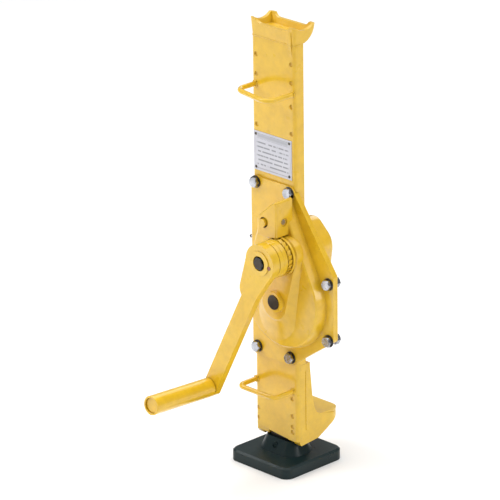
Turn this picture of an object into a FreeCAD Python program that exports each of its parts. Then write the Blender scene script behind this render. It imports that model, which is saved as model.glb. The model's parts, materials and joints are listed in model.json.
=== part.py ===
"""Rack and pinion lifting jack with a claw head, a toe and a ratchet hand crank.

Frame: millimetres, +Z up.  The origin is the centre of the foot plate's underside.  The broad
front face of the column looks along -Y, the toe points along +Y and the gear case bulges to +X.
The model stands as it is stored: lowered, with the housing resting on the foot.
"""
import FreeCAD, Part
import math
import os
from FreeCAD import Placement, Rotation, Vector

os.makedirs("parts", exist_ok=True)
doc = FreeCAD.newDocument("rack_jack")

# ---------------------------------------------------------------- driving dimensions
SIZES = {
    # whole jack
    "jack_height": 730, "lift_travel": 350, "slide_gap": 0.3, "shaft_gap": 0.05,
    # foot
    "plate_side": 129, "plate_thick": 19, "plate_corner": 15, "plate_bevel": 3,
    "boss_wide": 84, "boss_deep": 62, "boss_top": 41, "boss_taper": 11,
    # column: a folded front channel with a narrower rack channel welded in behind it
    "column_wide": 94, "column_front": -21, "column_rear": -2, "column_sheet": 4,
    "column_bottom": 54, "column_top": 702, "fold_radius": 6, "lip_rear": -14,
    "rack_room_half": 21, "rack_room_rear": 15.5, "rack_sheet": 3, "rack_channel_bottom": 178,
    # rack bar
    "rack_depth": 30, "rack_back": -18, "rack_bottom": 21, "rack_top": 690,
    "spare_teeth": 4,
    # gears
    "rack_module": 5, "rack_pinion_teeth": 6, "gear_module": 3.5,
    "crank_pinion_teeth": 6, "drive_gear_teeth": 42, "drive_gear_width": 12,
    "pinion_x": 32.5, "pinion_z": 291, "crank_x": 50,
    "pinion_journal": 11.5, "crank_journal": 9.5,
    # gear case
    "cover_sheet": 3.5, "cover_depth": 21, "case_gap": 3,
    "dome_big_radius": 82, "dome_top_radius": 17, "dome_top_z": 432, "rear_dome_rear": 27,
    "bearing_front": -58,
    # head and toe
    "head_wide": 97, "head_deep": 48, "head_front": -23, "head_wall": 4, "horn_dip": 6.5,
    "toe_bottom": 42, "toe_reach": 78, "toe_corner": 22, "toe_step": 86.5, "toe_tip_top": 80,
    "toe_tip_bottom": 71, "shank_top": 176,
    # crank and grip
    "crank_radius": 250, "crank_angle": 23.4, "crank_tilt": 4, "arm_wide": 28, "arm_thick": 12,
    "eye_radius": 30, "hub_front": -106, "grip_radius": 15.5, "grip_length": 128,
    "grip_wall": 3,
    # ratchet and brake
    "ratchet_radius": 31, "ratchet_teeth": 24, "ratchet_depth": 2.6, "brake_radius": 31,
    "pawl_x": 25.5, "pawl_z": 425,
    # bails and fasteners
    "bail_rod": 4, "bolt_radius": 5, "bolt_flats": 16, "bolt_head": 6.5, "nut_height": 8,
    "washer_radius": 10, "washer_thick": 1.6,
}

sheet = doc.addObject("Spreadsheet::Sheet", "Sizes")
for row, (alias, number) in enumerate(SIZES.items(), start=1):
    sheet.set("A%d" % row, alias.replace("_", " "))
    sheet.set("B%d" % row, str(number))
    sheet.setAlias("B%d" % row, alias)
doc.recompute()


class Values:
    """Reads the sheet's numbers by alias, so outlines follow the sheet."""

    def __getattr__(self, alias):
        return float(getattr(sheet, alias))


v = Values()
nodes = []

# ---------------------------------------------------------------- derived sizes
HALF_COLUMN = v.column_wide / 2
SHEET_REAR = v.column_front + v.column_sheet
RACK_PITCH_RADIUS = v.rack_module * v.rack_pinion_teeth / 2
RACK_PITCH_X = v.pinion_x - RACK_PITCH_RADIUS
GEAR_DISTANCE = v.gear_module * (v.drive_gear_teeth + v.crank_pinion_teeth) / 2
CRANK_Z = v.pinion_z + math.sqrt(GEAR_DISTANCE ** 2 - (v.crank_x - v.pinion_x) ** 2)
FLANGE_FRONT = v.column_front - v.cover_sheet
DOME_FRONT = v.column_front - v.cover_depth
PLATEAU_FRONT = DOME_FRONT - 10
PRESSURE_ANGLE = math.radians(25)
PINION_ADDENDUM = 0.94
RACK_ADDENDUM = 0.52
ROOT_CLEARANCE = 0.14


# ---------------------------------------------------------------- small helpers
def named(obj, label):
    """Makes an object one of the jack's nodes."""
    obj.Label = label
    nodes.append(obj)
    return obj


def bind(obj, **expressions):
    for prop, expression in expressions.items():
        obj.setExpression(prop, expression)
    return obj


def feature(name, shape):
    obj = doc.addObject("Part::Feature", name)
    obj.Shape = shape
    return obj


def at(x, y, z, axis=(0, 0, 1), angle=0):
    return Placement(Vector(x, y, z), Rotation(Vector(*axis), angle))


ALONG_FRONT = ((1, 0, 0), 90)      # turns a primitive's own axis from +Z to -Y
ALONG_RIGHT = ((0, 1, 0), 90)      # turns a primitive's own axis from +Z to +X
ALONG_BACK = ((1, 0, 0), -90)      # lays an upright outline down: its +Z becomes +Y


def box(name, low, high):
    obj = doc.addObject("Part::Box", name)
    obj.Length, obj.Width, obj.Height = [b - a for a, b in zip(low, high)]
    obj.Placement = at(*low)
    return obj


def cylinder(name, radius, length, place):
    """A cylinder whose radius is a number or an expression on the sheet."""
    obj = doc.addObject("Part::Cylinder", name)
    if isinstance(radius, str):
        bind(obj, Radius=radius)
    else:
        obj.Radius = radius
    obj.Height = length
    obj.Placement = place
    return obj


def round_y(name, x, z, radius, rear, front):
    """A cylinder along the gear axes, from y = rear forward to y = front."""
    return cylinder(name, radius, rear - front, at(x, rear, z, *ALONG_FRONT))


def cone_y(name, x, z, rear_radius, front_radius, rear, front):
    obj = doc.addObject("Part::Cone", name)
    obj.Radius1, obj.Radius2, obj.Height = rear_radius, front_radius, rear - front
    obj.Placement = at(x, rear, z, *ALONG_FRONT)
    return obj


def cut(name, base, *tools):
    tool = tools[0] if len(tools) == 1 else fuse(name + "_tools", *tools)
    obj = doc.addObject("Part::Cut", name)
    obj.Base, obj.Tool = base, tool
    return obj


def fuse(name, *shapes):
    obj = doc.addObject("Part::MultiFuse", name)
    obj.Shapes = list(shapes)
    return obj


def common(name, first, second):
    obj = doc.addObject("Part::Common", name)
    obj.Base, obj.Tool = first, second
    return obj


def group(name, members):
    obj = doc.addObject("Part::Compound", name)
    obj.Links = list(members)
    return obj


def polygon(points):
    return Part.makePolygon(list(points) + [points[0]])


def extrude(name, wire, direction, length):
    """A closed wire swept straight; length is a number or an expression on the sheet."""
    outline = feature(name + "_outline", wire)
    obj = doc.addObject("Part::Extrusion", name)
    obj.Base = outline
    obj.DirMode = "Custom"
    obj.Dir = Vector(*direction)
    obj.Solid = True
    if isinstance(length, str):
        bind(obj, LengthFwd=length)
    else:
        obj.LengthFwd = length
    return obj


def belt(circles, y, inset=0.0):
    """The closed outline of a belt round circles (x, z, radius) in the plane y.

    The circles are listed anticlockwise as seen from the front, and inset shrinks them all."""
    rounds = [(x, z, r - inset) for x, z, r in circles]
    tangents = []
    for (xa, za, ra), (xb, zb, rb) in zip(rounds, rounds[1:] + rounds[:1]):
        heading = math.atan2(zb - za, xb - xa)
        lean = math.acos((ra - rb) / math.hypot(xb - xa, zb - za))
        normal = heading - lean
        tangents.append((normal, Vector(xa + ra * math.cos(normal), y, za + ra * math.sin(normal)),
                         Vector(xb + rb * math.cos(normal), y, zb + rb * math.sin(normal))))
    edges = []
    for index, (normal, start, end) in enumerate(tangents):
        edges.append(Part.LineSegment(start, end).toShape())
        after = tangents[(index + 1) % len(tangents)]
        x, z, r = rounds[(index + 1) % len(rounds)]
        sweep = (after[0] - normal) % (2 * math.pi)
        middle = normal + sweep / 2
        via = Vector(x + r * math.cos(middle), y, z + r * math.sin(middle))
        edges.append(Part.Arc(end, via, after[1]).toShape())
    return Part.Wire(edges)


def belt_prism(name, circles, rear, front, inset=0.0):
    return extrude(name, belt(circles, rear, inset), (0, -1, 0), rear - front)


def dome(name, circles, sections):
    """A ruled solid through belts: sections lists (y, inset) from the open side to the face."""
    return loft_belts(name, [(circles, y, inset) for y, inset in sections])


def loft_belts(name, sections):
    """A ruled solid through sections of (circles, y, inset), each of as many circles."""
    obj = doc.addObject("Part::Loft", name)
    obj.Sections = [feature("%s_section_%d" % (name, index), belt(*section))
                    for index, section in enumerate(sections)]
    obj.Solid = True
    obj.Ruled = True
    return obj


def rounded_rectangle(wide, deep, radius, z):
    """A rectangle centred on the Z axis with rounded corners."""
    a, b = wide / 2, deep / 2
    edges = []
    corners = [(a, b, 0), (-a, b, 90), (-a, -b, 180), (a, -b, 270)]
    arcs = []
    for x, y, start in corners:
        cx = x - math.copysign(radius, x)
        cy = y - math.copysign(radius, y)
        points = []
        for angle in (start, start + 45, start + 90):
            t = math.radians(angle)
            points.append(Vector(cx + radius * math.cos(t), cy + radius * math.sin(t), z))
        arcs.append(points)
    for points, following in zip(arcs, arcs[1:] + arcs[:1]):
        edges.append(Part.Arc(*points).toShape())
        edges.append(Part.LineSegment(points[2], following[0]).toShape())
    return Part.Wire(edges)


def origin_plane(body, role):
    return next(f for f in body.Origin.OriginFeatures if f.Role == role)


def sketch_on(body, role, name, offset):
    """A sketch on one of the body's own planes, moved along its normal by an expression."""
    sketch = body.newObject("Sketcher::SketchObject", name)
    sketch.AttachmentSupport = [(origin_plane(body, role), "")]
    sketch.MapMode = "FlatFace"
    sketch.setExpression("AttachmentOffset.Base.z", offset)
    return sketch


def pad_outline(body, role, name, points, offset, length):
    """Pads a polygon of (across, up) points, by expressions for its start and its length."""
    sketch = sketch_on(body, role, name + "_sketch", offset)
    ends = [Vector(a, b, 0) for a, b in points]
    for start, end in zip(ends, ends[1:] + ends[:1]):
        sketch.addGeometry(Part.LineSegment(start, end), False)
    pad = body.newObject("PartDesign::Pad", name)
    pad.Profile = sketch
    pad.setExpression("Length", length)
    return pad


# ---------------------------------------------------------------- gear outlines
def involute_flank(base, start, end, count=5):
    """Points of an involute from radius start to radius end, as (radius, polar angle)."""
    flank = []
    for step in range(count):
        radius = start + (end - start) * step / (count - 1)
        pressure = math.acos(min(1.0, base / radius))
        flank.append((radius, math.tan(pressure) - pressure))
    return flank


def gear_outline(teeth, module, addendum, dedendum, backlash, y, centre, phase):
    """An involute gear outline in the plane y, with a tooth centred at the angle phase."""
    pitch = module * teeth / 2
    base = pitch * math.cos(PRESSURE_ANGLE)
    tip = pitch + addendum * module
    root = pitch - dedendum * module
    at_pitch = math.tan(PRESSURE_ANGLE) - PRESSURE_ANGLE
    half_tooth = (math.pi * module / 2 - backlash) / (2 * pitch) + at_pitch
    flank = [(r, half_tooth - a) for r, a in involute_flank(base, max(base, root), tip)]
    foot = flank[0][1]
    if root < base:
        foot = foot * UNDERCUT
    step = 2 * math.pi / teeth

    def spot(radius, angle):
        return Vector(centre[0] + radius * math.cos(angle), y, centre[1] + radius * math.sin(angle))

    edges = []
    for tooth in range(teeth):
        middle = phase + tooth * step
        rising = [spot(r, middle - a) for r, a in flank]
        falling = [spot(r, middle + a) for r, a in reversed(flank)]
        low_start, low_end = spot(root, middle - foot), spot(root, middle + foot)
        if root < base:
            edges.append(Part.LineSegment(low_start, rising[0]).toShape())
        edges.append(smooth_curve(rising))
        edges.append(Part.Arc(rising[-1], spot(tip, middle), falling[0]).toShape())
        edges.append(smooth_curve(falling))
        if root < base:
            edges.append(Part.LineSegment(falling[-1], low_end).toShape())
        valley = spot(root, middle + step / 2)
        edges.append(Part.Arc(low_end, valley, spot(root, middle + step - foot)).toShape())
    return Part.Wire(edges)


def smooth_curve(points):
    curve = Part.BSplineCurve()
    curve.interpolate(points)
    return curve.toShape()


# ---------------------------------------------------------------- foot and rack
def make_base_plate():
    """A bevelled square foot plate with a tapered boss that holds the end of the rack."""
    side, thick, bevel = v.plate_side, v.plate_thick, v.plate_bevel
    slab = extrude("plate_slab", rounded_rectangle(side, side, v.plate_corner, 0), (0, 0, 1),
                   "Sizes.plate_thick - Sizes.plate_bevel")
    low = feature("plate_rim_low", rounded_rectangle(side, side, v.plate_corner, thick - bevel))
    high = feature("plate_rim_high", rounded_rectangle(side - 2 * bevel, side - 2 * bevel,
                                                       v.plate_corner - bevel, thick))
    rim = doc.addObject("Part::Loft", "plate_bevelled_rim")
    rim.Sections, rim.Solid, rim.Ruled = [low, high], True, True
    foot = feature("boss_low", rounded_rectangle(v.boss_wide, v.boss_deep, 26, thick))
    crown = feature("boss_high", rounded_rectangle(v.boss_wide - 2 * v.boss_taper,
                                                   v.boss_deep - 2 * v.boss_taper, 15, v.boss_top))
    boss = doc.addObject("Part::Loft", "plate_boss")
    boss.Sections, boss.Solid, boss.Ruled = [foot, crown], True, True
    whole = fuse("plate_whole", slab, rim, boss)
    play = v.slide_gap / 2
    pocket = box("rack_pocket", (v.rack_back - play, -v.rack_depth / 2 - play, v.rack_bottom),
                 (RACK_TIP_X + play, v.rack_depth / 2 + play, v.boss_top + 1))
    named(cut("base_plate_cut", whole, pocket, foot_pin_hole), "base_plate")


def make_rack():
    """The rack bar: a flat steel bar with straight-sided teeth milled along its right edge."""
    pitch = math.pi * v.rack_module
    tip = RACK_TIP_X
    root = RACK_PITCH_X - (PINION_ADDENDUM + ROOT_CLEARANCE) * v.rack_module
    slope = math.tan(PRESSURE_ANGLE)
    gap = (pitch / 2 + RACK_BACKLASH) / 2
    mouth = gap + (tip - RACK_PITCH_X) * slope
    floor = gap - (RACK_PITCH_X - root) * slope
    points = [(v.rack_back, v.rack_bottom), (tip, v.rack_bottom)]
    for index in range(RACK_TEETH):
        middle = v.pinion_z + (index - 2) * pitch
        points += [(tip, middle - mouth), (root, middle - floor),
                   (root, middle + floor), (tip, middle + mouth)]
    points += [(tip, v.rack_top), (v.rack_back, v.rack_top)]
    body = doc.addObject("PartDesign::Body", "rack_body")
    pad_outline(body, "XZ_Plane", "rack_bar", points, "-Sizes.rack_depth / 2", "Sizes.rack_depth")
    doc.recompute()
    named(cut("rack_cut", body, foot_pin_hole, stop_screw_holes), "rack")


def make_foot_pin():
    pin = round_y("foot_pin_shank", FOOT_PIN_X, FOOT_PIN_Z, FOOT_PIN_RADIUS, FOOT_PIN_HALF, -FOOT_PIN_HALF)
    named(pin, "foot_pin")


def make_rack_stop():
    """A stop plate screwed on top of the rack, wider than the guide that it runs into."""
    plate = box("stop_plate_blank", (v.rack_back - 2.4, -v.rack_depth / 2, v.rack_top),
                (RACK_TIP_X, v.rack_depth / 2, v.rack_top + STOP_THICK))
    named(cut("stop_plate_cut", plate, stop_screw_holes), "rack_stop_plate")
    screws = []
    for x in STOP_SCREWS_X:
        shank = cylinder("stop_screw_shank", 3, STOP_THICK + 20, at(x, 0, v.rack_top - 20))
        head = cylinder("stop_screw_head", 5.5, 3, at(x, 0, v.rack_top + STOP_THICK))
        screws.append(fuse("stop_screw", shank, head))
    named(group("stop_screws_group", screws), "rack_stop_screws")


# ---------------------------------------------------------------- column
def folded_channel(half, front, rear, thick, radius, z):
    """The outline of a channel folded from sheet, open towards +Y."""
    inner = radius - thick
    lean = math.sqrt(0.5)
    edges = []

    def line(a, b):
        edges.append(Part.LineSegment(Vector(*a, z), Vector(*b, z)).toShape())

    def bend(a, via, b):
        edges.append(Part.Arc(Vector(*a, z), Vector(*via, z), Vector(*b, z)).toShape())

    left, right, deep = -half + radius, half - radius, front + radius
    line((-half, rear), (-half, deep))
    bend((-half, deep), (left - radius * lean, deep - radius * lean), (left, front))
    line((left, front), (right, front))
    bend((right, front), (right + radius * lean, deep - radius * lean), (half, deep))
    line((half, deep), (half, rear))
    line((half, rear), (half - thick, rear))
    line((half - thick, rear), (half - thick, deep))
    bend((half - thick, deep), (right + inner * lean, deep - inner * lean), (right, front + thick))
    line((right, front + thick), (left, front + thick))
    bend((left, front + thick), (left - inner * lean, deep - inner * lean), (-half + thick, deep))
    line((-half + thick, deep), (-half + thick, rear))
    line((-half + thick, rear), (-half, rear))
    return Part.Wire(edges)


def make_front_channel():
    """The broad front sheet with its two folded sides, open where the gears pass."""
    blank = extrude("front_channel_blank",
                    folded_channel(HALF_COLUMN, v.column_front, v.column_rear, v.column_sheet,
                                   v.fold_radius, v.column_bottom - BOTTOM_SLANT),
                    (0, 0, 1), "Sizes.column_top - Sizes.column_bottom + %g" % BOTTOM_SLANT)
    low = v.column_bottom - BOTTOM_SLANT
    slant = extrude("bottom_slant", polygon([
        Vector(-HALF_COLUMN - 1, v.column_rear + 1, low - 1),
                                             Vector(HALF_COLUMN + 1, v.column_rear + 1, low - 1),
        Vector(-HALF_COLUMN - 1, v.column_rear + 1, v.column_bottom)]), (0, -1, 0), 30)
    lips = box("lip_trim", (-HALF_COLUMN - 1, v.lip_rear, low - 1),
               (HALF_COLUMN + 1, v.column_rear + 1, v.shank_top + v.slide_gap))
    dimples = []
    for x, z in WELD_DIMPLES:
        dimples.append(cone_y("weld_dimple", x, z, 2.6, 4.2, v.column_front + 2.4, v.column_front - 0.2))
    named(cut("front_channel_cut", blank, slant, lips, gear_window, column_bolt_holes, rivet_holes,
              group("weld_dimples", dimples)), "front_channel")


def make_rack_channel():
    """The narrow hat-shaped channel that the rack runs in, welded behind the front sheet."""
    room, wall, rear = v.rack_room_half, v.rack_sheet, v.rack_room_rear
    wing = HALF_COLUMN - v.fold_radius - 0.1
    outline = [(-wing, SHEET_REAR), (-room, SHEET_REAR), (-room, rear), (room, rear),
               (room, SHEET_REAR), (wing, SHEET_REAR), (wing, SHEET_REAR + wall),
               (room + wall, SHEET_REAR + wall), (room + wall, rear + wall),
               (-room - wall, rear + wall), (-room - wall, SHEET_REAR + wall),
               (-wing, SHEET_REAR + wall)]
    body = doc.addObject("PartDesign::Body", "rack_channel_body")
    pad_outline(body, "XY_Plane", "rack_channel_pad", outline, "Sizes.rack_channel_bottom",
                "Sizes.column_top - Sizes.rack_channel_bottom")
    doc.recompute()
    window = box("pinion_window", (14, SHEET_REAR - 1, v.pinion_z - 24),
                 (room + wall + 1, rear + wall + 1, v.pinion_z + 24))
    named(cut("rack_channel_cut", body, window, gear_window, column_bolt_holes), "rack_channel")


def make_threaded_blocks():
    """Tapped blocks welded inside the column behind its four cover bolts."""
    blocks = []
    for x, z in COLUMN_BOLTS:
        near, far = sorted((math.copysign(v.rack_room_half + v.rack_sheet + 1, x),
                            math.copysign(HALF_COLUMN - v.column_sheet - 0.2, x)))
        blank = box("block_blank", (near, SHEET_REAR + v.rack_sheet, z - 12),
                    (far, SHEET_REAR + v.rack_sheet + 11, z + 12))
        blocks.append(cut("threaded_block", blank, column_bolt_holes))
    named(group("threaded_blocks_group", blocks), "threaded_blocks")


def make_guides():
    """Bronze pads at the rack's back and front faces, near both ends of its bearing length."""
    for label, low in (("lower_rack_guide", 62), ("upper_rack_guide", 308)):
        room, gap = v.rack_room_half, v.slide_gap
        outline = [(-room, SHEET_REAR), (RACK_PITCH_X - 8, SHEET_REAR),
                   (RACK_PITCH_X - 8, -v.rack_depth / 2 - gap),
                   (v.rack_back - gap, -v.rack_depth / 2 - gap), (v.rack_back - gap, v.rack_room_rear),
                   (-room, v.rack_room_rear)]
        body = doc.addObject("PartDesign::Body", label + "_body")
        pad_outline(body, "XY_Plane", label + "_pad", outline, "%g" % low, "30")
        named(body, label)


def make_toe_claw():
    """The forged toe: a forked shank inside the column and a sloping tongue behind it."""
    under, reach, tip = v.toe_bottom, v.toe_reach, v.toe_tip_top
    profile = [(SHEET_REAR, under + 2), (SHEET_REAR + 4, under - 3.4), (25, under), (44, under + 10),
               (64, under + 21.5), (reach - 1, v.toe_tip_bottom), (reach, tip - 1), (reach - 7, tip),
               (30, tip + 2.5), (22, v.toe_step), (17, v.toe_step + 9.5), (12, 118), (7, 170),
               (7, v.shank_top), (SHEET_REAR, v.shank_top)]
    body = doc.addObject("PartDesign::Body", "toe_body")
    pad_outline(body, "YZ_Plane", "toe_pad", profile, "-Sizes.column_wide / 2", "Sizes.column_wide")
    doc.recompute()
    half = HALF_COLUMN
    low, high = under - 5, v.shank_top + 1
    corner = v.toe_corner
    plan = belt([(-half + 1, -20, 1), (half - 1, -20, 1), (half - corner, reach - corner, corner),
                 (-half + corner, reach - corner, corner)], 0)
    blank = extrude("toe_plan", plan, (0, -1, 0), high - low)
    blank.Placement = at(0, 0, low, *ALONG_BACK)
    rounded = common("toe_rounded", body, blank)
    slopes = []
    for side in (1, -1):
        slope = box("toe_side_slope", (-60, -60, 0), (60, 60, 40))
        slope.Placement = Placement(Vector(side * half, 24, tip + 3),
                                    Rotation(Vector(0, 0, 1), Vector(side * 0.34, 0.20, 0.92)))
        trim = box("toe_slope_limit", (-half - 1, 21, tip - 25), (half + 1, reach + 1, tip + 20))
        slopes.append(common("toe_slope", slope, trim))
    slot = box("toe_rack_slot", (-v.rack_room_half, SHEET_REAR - 2, low),
               (v.rack_room_half, v.rack_room_rear, high))
    boss_room = box("toe_boss_room", (-33.5, SHEET_REAR - 3, low), (33.5, 24, v.boss_top + 2.5))
    inside = half - v.fold_radius
    right = box("right_lip_room", (inside, SHEET_REAR - 2, v.column_bottom - BOTTOM_SLANT - 0.3),
                (half + 1, v.lip_rear + 0.1, high))
    left = box("left_lip_room", (-half - 1, SHEET_REAR - 2, v.column_bottom - 0.3),
               (-inside, v.lip_rear + 0.1, high))
    named(cut("toe_cut", rounded, slot, boss_room, right, left, *slopes), "toe_claw")


def make_lift_head():
    """The forged head: a shallow cup with a horn at each corner, overhanging the back."""
    rise = v.jack_height - v.column_top
    back = v.head_front + v.head_deep
    sections = []
    for step in range(7):
        turn = math.radians(15 * step)
        z = v.jack_height - rise * math.cos(turn)
        grow = (z - v.column_top) / rise
        half = HALF_COLUMN + (v.head_wide / 2 - HALF_COLUMN) * grow
        front = v.column_front + (v.head_front - v.column_front) * grow
        rear = v.column_rear + (back - v.column_rear) * math.sin(turn)
        outline = rounded_rectangle(2 * half, rear - front, v.fold_radius, z)
        outline.translate(Vector(0, (front + rear) / 2, 0))
        sections.append(feature("head_section", outline))
    cup = doc.addObject("Part::Loft", "head_cup")
    cup.Sections, cup.Solid, cup.Ruled = sections, True, True
    mouth, floor = [], []
    half, wall = v.head_wide / 2, v.head_wall
    for inset, z, outline in ((wall, v.jack_height + 1, mouth), (wall + 6, v.jack_height - 15, floor)):
        outline += [Vector(-half + inset, v.head_front + inset, z),
                    Vector(half - inset, v.head_front + inset, z),
                    Vector(half - inset, back - inset, z), Vector(-half + inset, back - inset, z)]
    hollow = doc.addObject("Part::Loft", "head_hollow")
    hollow.Sections = [feature("head_mouth", polygon(mouth)), feature("head_floor", polygon(floor))]
    hollow.Solid, hollow.Ruled = True, True
    dip, rise_radius = v.horn_dip, 12
    centre_z = v.jack_height - dip + rise_radius
    opening = v.head_wide / 2 - 12
    centre_x = opening - math.sqrt(rise_radius ** 2 - (rise_radius - dip) ** 2)
    long_dip = belt_prism("head_long_dip", [(-centre_x, centre_z, rise_radius),
                                            (centre_x, centre_z, rise_radius)], 60, -60)
    across = v.head_deep / 2 - 5.5
    radius = (across ** 2 + dip ** 2) / (2 * dip)
    side_dip = cylinder("head_side_dip", radius, 200, at(-100, v.head_front + v.head_deep / 2,
                                                         v.jack_height - dip + radius, *ALONG_RIGHT))
    low = HALF_COLUMN - 2 * v.fold_radius
    rib = extrude("head_rib", polygon([
        Vector(low, v.column_front, 684), Vector(low, v.head_front, 702),
        Vector(low, v.head_front, 724), Vector(low, v.column_front, 724)]), (1, 0, 0), v.fold_radius)
    solid = cut("head_scooped", cup, hollow, long_dip, side_dip)
    named(fuse("head_whole", solid, rib), "lift_head")


def bail(label, left, right, z, left_reach, right_reach, bend):
    """A bent round rod welded to the front sheet at both ends: a lifting bail."""
    face = v.column_front
    left_front, right_front = Vector(left, face - left_reach, z), Vector(right, face - right_reach, z)
    corners = [Vector(left, face, z), left_front, right_front, Vector(right, face, z)]
    edges = []
    start = corners[0]
    for before, corner, after in zip(corners, corners[1:], corners[2:]):
        back = (before - corner).normalize()
        ahead = (after - corner).normalize()
        half = back.getAngle(ahead) / 2
        reach = bend / math.tan(half)
        entry, leave = corner + back * reach, corner + ahead * reach
        middle = corner + (back + ahead).normalize() * (bend / math.sin(half) - bend)
        edges.append(Part.LineSegment(start, entry).toShape())
        edges.append(Part.Arc(entry, middle, leave).toShape())
        start = leave
    edges.append(Part.LineSegment(start, corners[-1]).toShape())
    spine = feature(label + "_spine", Part.Wire(edges))
    section = doc.addObject("Part::Circle", label + "_section")
    bind(section, Radius="Sizes.bail_rod")
    section.Placement = at(left, face, z, *ALONG_FRONT)
    sweep = doc.addObject("Part::Sweep", label + "_sweep")
    sweep.Sections = [section]
    sweep.Spine = (spine, ["Edge%d" % (index + 1) for index in range(len(edges))])
    sweep.Solid = True
    sweep.Frenet = False
    named(sweep, label)


def make_nameplate():
    plate = box("nameplate_blank", (NAMEPLATE_LEFT, v.column_front - 1, NAMEPLATE_LOW),
                (NAMEPLATE_RIGHT, v.column_front, NAMEPLATE_HIGH))
    named(cut("nameplate_cut", plate, rivet_holes), "nameplate")
    rivets = []
    for x, z in RIVETS:
        shank = round_y("rivet_shank", x, z, 1.4, v.column_front + 3, v.column_front - 1)
        head = cone_y("rivet_head", x, z, 2.4, 1.3, v.column_front - 1, v.column_front - 2.3)
        rivets.append(fuse("rivet", shank, head))
    named(group("rivets_group", rivets), "nameplate_rivets")


def make_grease_nipple():
    """A grease nipple in the column's left side, beside the gears."""
    x = -HALF_COLUMN
    hexagon = doc.addObject("Part::Prism", "nipple_hexagon")
    hexagon.Polygon, hexagon.Circumradius, hexagon.Height = 6, 5, 5
    hexagon.Placement = at(x - 5, NIPPLE_Y, NIPPLE_Z, *ALONG_RIGHT)
    neck = cylinder("nipple_neck", 2, 8, at(x - 12, NIPPLE_Y, NIPPLE_Z, *ALONG_RIGHT))
    nose = doc.addObject("Part::Cone", "nipple_nose")
    nose.Radius1, nose.Radius2, nose.Height = 1.6, 3.1, 2.6
    nose.Placement = at(x - 14.6, NIPPLE_Y, NIPPLE_Z, *ALONG_RIGHT)
    named(fuse("nipple_whole", hexagon, neck, nose), "grease_nipple")


# ---------------------------------------------------------------- gear case
def left_of_case(name):
    """Everything to the left of the gear case's joint with the column."""
    return box(name, (-200, -100, 100), (HALF_COLUMN + 0.3, 0, 500))


def make_front_cover():
    """The pressed front cover: a flange, a dome over the drive gear and a bearing plateau."""
    front, inside = FLANGE_FRONT, DOME_FRONT + v.cover_sheet
    flange = belt_prism("front_flange", CASE_OUTLINE, v.column_front, front)
    outer = dome("front_dome_outer", FRONT_DOME, [(v.column_front, 0), (front, 0), (DOME_FRONT + 5, 3),
                                                  (DOME_FRONT + 1.6, 4.2), (DOME_FRONT, 6.5)])
    outer = cut("front_dome_trimmed", outer, box("dome_left_trim", (-90, -90, 150),
                                                 (-HALF_COLUMN + 0.2, 0, 500)))
    hollow = dome("front_dome_inner", FRONT_DOME,
                  [(v.column_front + 0.1, 3.5), (DOME_FRONT + 7, 5.5), (inside, 6.2)])
    hollow = cut("front_hollow_trimmed", hollow,
                 box("hollow_left_trim", (-90, -90, 150), (-HALF_COLUMN + 3.4, 0, 500)))
    plateau = loft_belts("bearing_plateau", [
        (PLATEAU_FOOT, inside, 0), (PLATEAU_FOOT, DOME_FRONT, 0),
        (PLATEAU_TOP, PLATEAU_FRONT + 2, -0.5), (PLATEAU_TOP, PLATEAU_FRONT, 1.6)])
    collar = cone_y("bearing_collar", v.pinion_x, v.pinion_z, 19, 16.5, DOME_FRONT + 1, v.bearing_front)
    bores = [round_y("pinion_bush_seat", v.pinion_x, v.pinion_z, PINION_BUSH, 0,
                     v.bearing_front + BUSH_LIP),
             round_y("pinion_lip_bore", v.pinion_x, v.pinion_z, v.pinion_journal + 0.6, 0,
                     v.bearing_front - 1),
             round_y("crank_bush_seat", v.crank_x, CRANK_Z, CRANK_BUSH, 0, PLATEAU_FRONT - 1)]
    shell = fuse("front_cover_shell", cut("front_shell", fuse("front_skin", flange, outer), hollow),
                 plateau, collar)
    named(cut("front_cover_cut", shell, *bores, all_bolt_holes), "front_gear_cover")


def make_spacer():
    """A flat frame between the two covers on the side that stands clear of the column."""
    frame = belt_prism("spacer_frame", CASE_OUTLINE, v.column_front + v.case_gap, v.column_front)
    hole = belt_prism("spacer_hole", FRONT_DOME, v.column_front + v.case_gap + 1, v.column_front - 1,
                      inset=3.5)
    named(cut("spacer_cut", frame, hole, left_of_case("spacer_trim"), all_bolt_holes), "case_spacer")


def make_rear_cover():
    """The pressed rear cover: a flange beside the column and a dome behind the rack channel."""
    front = v.column_front + v.case_gap
    back = front + v.cover_sheet
    deep = v.rear_dome_rear
    flange = cut("rear_flange", belt_prism("rear_flange_blank", CASE_OUTLINE, back, front),
                 left_of_case("rear_flange_trim"))
    outer = dome("rear_dome_outer", REAR_DOME, [(back, -8), (deep - 5, -3.5), (deep - 1.6, -2), (deep, 0)])
    hollow = dome("rear_dome_inner", REAR_DOME,
                  [(front - 1, -4.5), (deep - 7, -1), (deep - v.cover_sheet, 0.5)])
    bosses = [round_y("rear_pinion_boss", v.pinion_x, v.pinion_z, PINION_BUSH + 3, deep,
                      v.rack_room_rear + v.rack_sheet + 0.5),
              round_y("rear_crank_boss", v.crank_x, CRANK_Z, CRANK_BUSH + 3, deep,
                      v.rack_room_rear + v.rack_sheet + 0.5)]
    seats = [round_y("rear_pinion_seat", v.pinion_x, v.pinion_z, PINION_BUSH, deep + 1, 0),
             round_y("rear_crank_seat", v.crank_x, CRANK_Z, CRANK_BUSH, deep + 1, 0)]
    room = v.rack_room_half + v.rack_sheet + 0.3
    channel = box("channel_envelope", (-room, -30, 150), (room, v.rack_room_rear + v.rack_sheet + 0.3, 500))
    column = box("column_envelope", (-60, -30, 150), (HALF_COLUMN + 0.3, v.column_rear + 0.3, 500))
    skin = cut("rear_skin", fuse("rear_outer", flange, outer), hollow)
    whole = fuse("rear_with_bosses", skin, *bosses)
    named(cut("rear_cover_cut", whole, channel, column, *seats, all_bolt_holes), "rear_gear_cover")


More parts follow.
